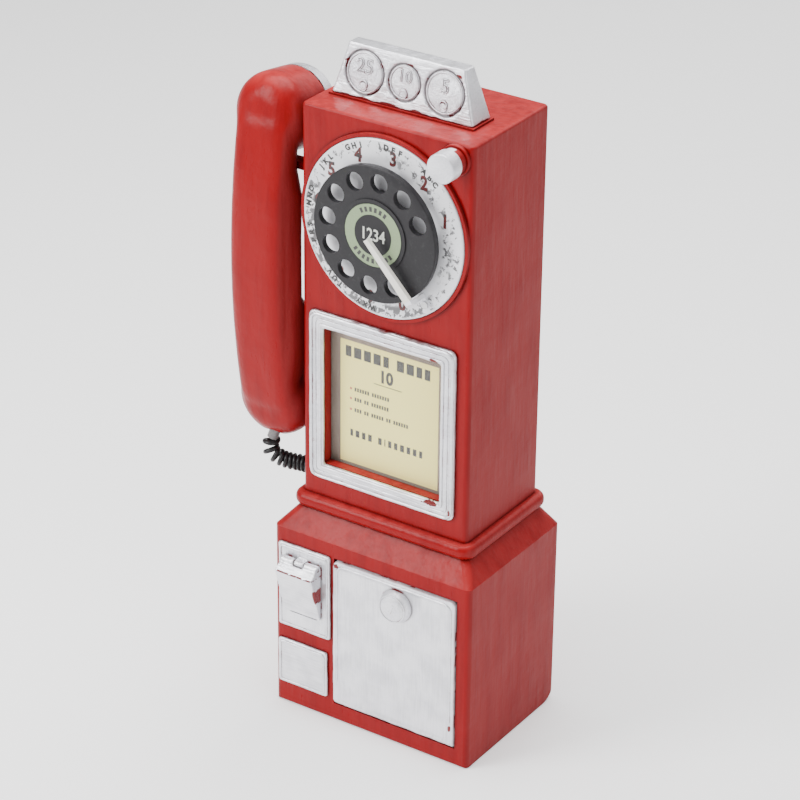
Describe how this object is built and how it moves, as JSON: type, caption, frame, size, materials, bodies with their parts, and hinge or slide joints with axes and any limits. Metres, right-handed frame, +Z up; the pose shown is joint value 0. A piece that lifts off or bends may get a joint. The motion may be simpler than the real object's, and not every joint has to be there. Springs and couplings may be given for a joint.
{
  "type": "wall pay telephone display model",
  "caption": "Free-standing red display model of a wall pay telephone with finger-wheel dial, coin head, card window, coin return, vault door and corded handset on a side hook.",
  "frame": {"origin": "centre of the base's outline on the surface the model stands on", "axes": "+Z up, -Y out of the front face (dial and window), +X to the viewer's right seen from the front"},
  "size_m": [0.117, 0.0728, 0.2755],
  "materials": {
    "red_enamel": "gloss",
    "silver_paint": "satin",
    "steel": "satin",
    "wheel_black": "satin",
    "label_green": "matte",
    "bone_white": "gloss",
    "card_cream": "matte",
    "clear_pane": "gloss",
    "black_board": "matte",
    "felt_green": "matte",
    "cord_black": "satin",
    "peg_grey": "satin"
  },
  "bodies": {
    "housing": {"upper_housing": "red_enamel", "lower_housing": "red_enamel", "bottom_plate": "black_board", "bottom_screws": "steel", "felt_pad": "felt_green", "joining_screws": "steel", "coin_head": "silver_paint", "coin_head_screws": "steel", "dial_plate": "silver_paint", "dial_plate_screws": "steel", "finger_stop": "bone_white", "finger_stop_rivet": "steel", "release_barrel": "red_enamel", "release_spring": "steel", "window_frame": "silver_paint", "window_pane": "clear_pane", "instruction_card": "card_cream", "card_backing": "black_board", "card_backing_screws": "steel", "coin_return_bezel": "silver_paint", "coin_return_cup": "red_enamel", "flap_hinge_pin": "steel", "blank_plate": "silver_paint", "door_hinge_pins": "steel", "handset_hook": "red_enamel", "hook_screws": "steel", "curly_cord": "cord_black", "cord_grommet": "cord_black", "coin_disc_25": "silver_paint", "coin_disc_10": "silver_paint", "coin_disc_5": "silver_paint"},
    "dial": {"finger_wheel": "wheel_black", "number_card": "label_green", "dial_spindle": "steel", "spindle_clip": "steel"},
    "release": {"release_button": "silver_paint", "release_clip": "steel"},
    "flap": {"coin_return_flap": "silver_paint"},
    "door": {"vault_door": "silver_paint"},
    "lock": {"lock_knob": "silver_paint", "lock_spacer": "steel", "lock_cam": "steel", "lock_nut": "steel"},
    "handset": {"handset_shell": "red_enamel", "ear_cap": "silver_paint", "mouth_cap": "silver_paint", "cord_gland": "peg_grey"}
  },
  "joints": [
    {"name": "dial_turn", "type": "hinge", "parent": "housing", "child": "dial", "pos_m": [0, -0.03125, 0.2145], "axis": [0, 1, 0], "range_deg": [0, 340]},
    {"name": "release_press", "type": "slide", "parent": "housing", "child": "release", "axis": [0, 1, 0], "range_m": [0, 0.003], "stiffness_N_per_m": 150, "deforming": ["release_spring"]},
    {"name": "flap_swing", "type": "hinge", "parent": "housing", "child": "flap", "pos_m": [-0.0306, -0.0356, 0.0682], "axis": [-1, 0, 0], "range_deg": [0, 65]},
    {"name": "door_open", "type": "hinge", "parent": "housing", "child": "door", "pos_m": [0.01145, -0.031, 0.0108], "axis": [1, 0, 0], "range_deg": [0, 90]},
    {"name": "lock_turn", "type": "hinge", "parent": "door", "child": "lock", "pos_m": [0.013, -0.0336, 0.0637], "axis": [0, 1, 0], "range_deg": [0, 90]},
    {"name": "handset_lift", "type": "slide", "parent": "housing", "child": "handset", "axis": [0, 0, 1], "range_m": [0, 0.045]}
  ]
}
